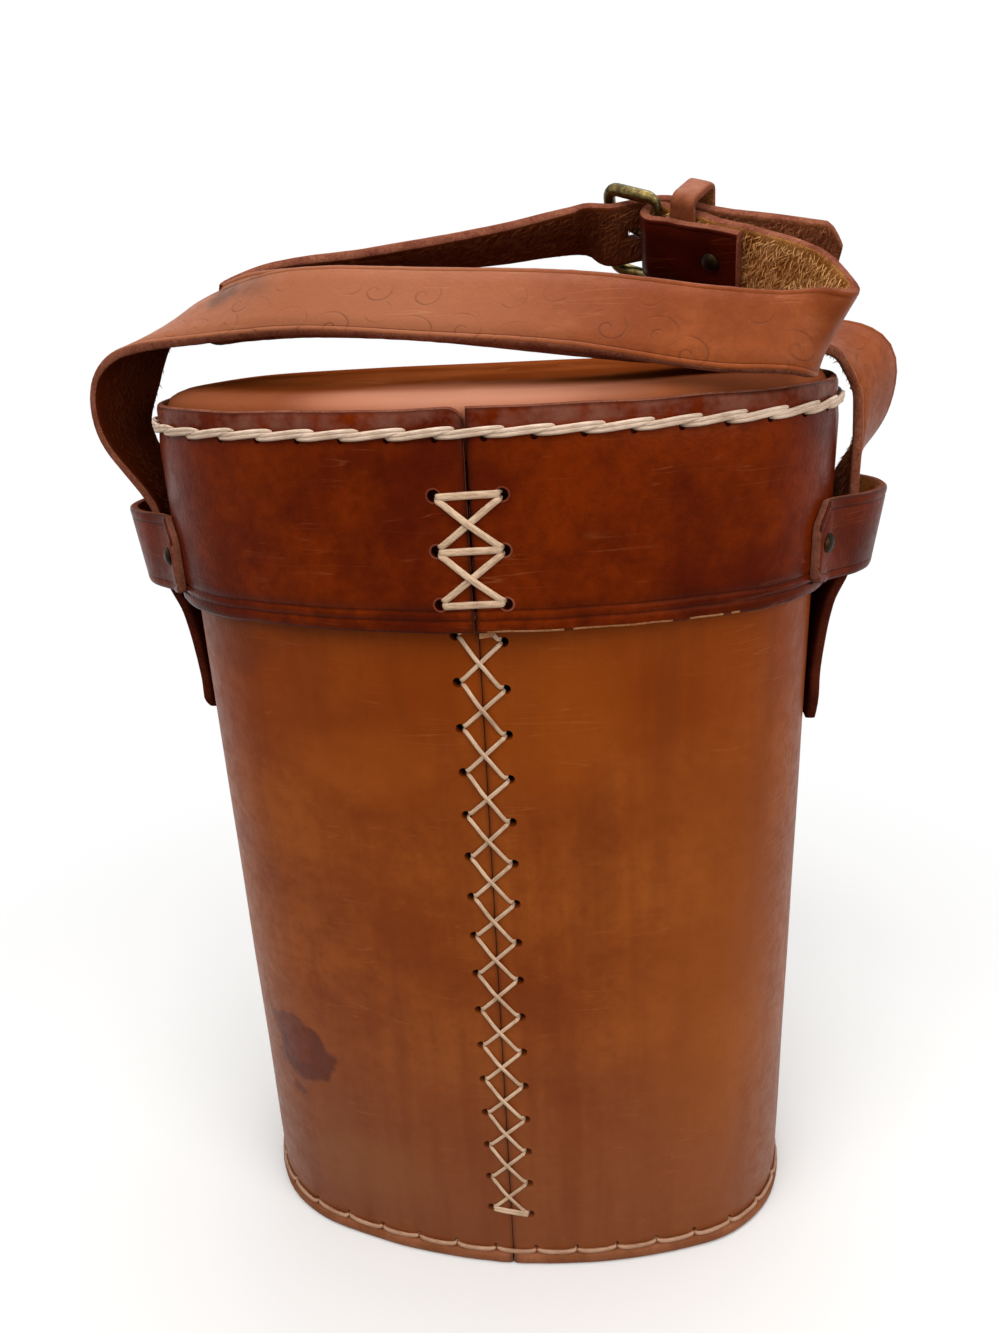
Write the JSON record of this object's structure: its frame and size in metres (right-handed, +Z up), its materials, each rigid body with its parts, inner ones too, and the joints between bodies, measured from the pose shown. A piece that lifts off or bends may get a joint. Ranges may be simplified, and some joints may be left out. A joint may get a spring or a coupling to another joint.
{
  "type": "bottle carrier",
  "caption": "Oval laced leather case for bottles, with a telescoping cap lid, side loops and a shoulder strap folded on top and closed by a buckle.",
  "frame": {"origin": "middle of the base, on the ground", "axes": "+Z up, -Y the laced front, +X the side where the billet strap rises"},
  "size_m": [0.2556, 0.1336, 0.3713],
  "materials": {
    "case_leather": "smooth vegetable-tanned leather, warm tan, waxed and worn",
    "lid_leather": "smooth red-brown leather with a soft gloss",
    "lid_top_leather": "moulded orange-brown leather",
    "strap_leather": "tooled leather with a raw flesh side",
    "loop_leather": "dark brown leather",
    "lace": "cream waxed lace",
    "thread": "thick cream waxed thread",
    "buckle_brass": "antique brass, dulled",
    "rivet_metal": "dark antique brass",
    "pad_felt": "felt"
  },
  "bodies": {
    "case": {"case_wall": "case_leather", "case_seam_lace": "lace", "base_welt": "loop_leather", "base_stitching": "thread", "base_panel": "case_leather", "base_pad": "pad_felt", "divider": "case_leather", "left_strap_tail": "strap_leather", "right_strap_tail": "strap_leather", "tail_rivets": "rivet_metal"},
    "lid": {"lid_band": "lid_leather", "lid_top": "lid_top_leather", "lid_top_stitching": "thread", "lid_seam_lace": "lace", "left_strap_loop": "loop_leather", "right_strap_loop": "loop_leather", "loop_rivets": "rivet_metal"},
    "strap": {"buckle_strap": "strap_leather", "billet_strap": "strap_leather", "buckle_frame": "buckle_brass", "keeper_loop": "strap_leather", "fold_rivet": "rivet_metal"},
    "prong": {"buckle_prong": "buckle_brass"}
  },
  "joints": [
    {"name": "lid_lift", "type": "slide", "parent": "case", "child": "lid", "axis": [0, 0, 1], "range_m": [0, 0.12]},
    {"name": "strap_rise", "type": "slide", "parent": "case", "child": "strap", "axis": [0, 0, 1], "range_m": [0, 0.12], "deforming": ["left_strap_tail", "right_strap_tail"]},
    {"name": "prong_swing", "type": "hinge", "parent": "strap", "child": "prong", "pos_m": [0.05348, 0.00846, 0.35316], "axis": [0.0697, 0.5278, -0.8465], "range_deg": [0, 50]}
  ],
  "couplings": [
    {"joint": "strap_rise", "follows": "lid_lift", "ratio": 1}
  ]
}
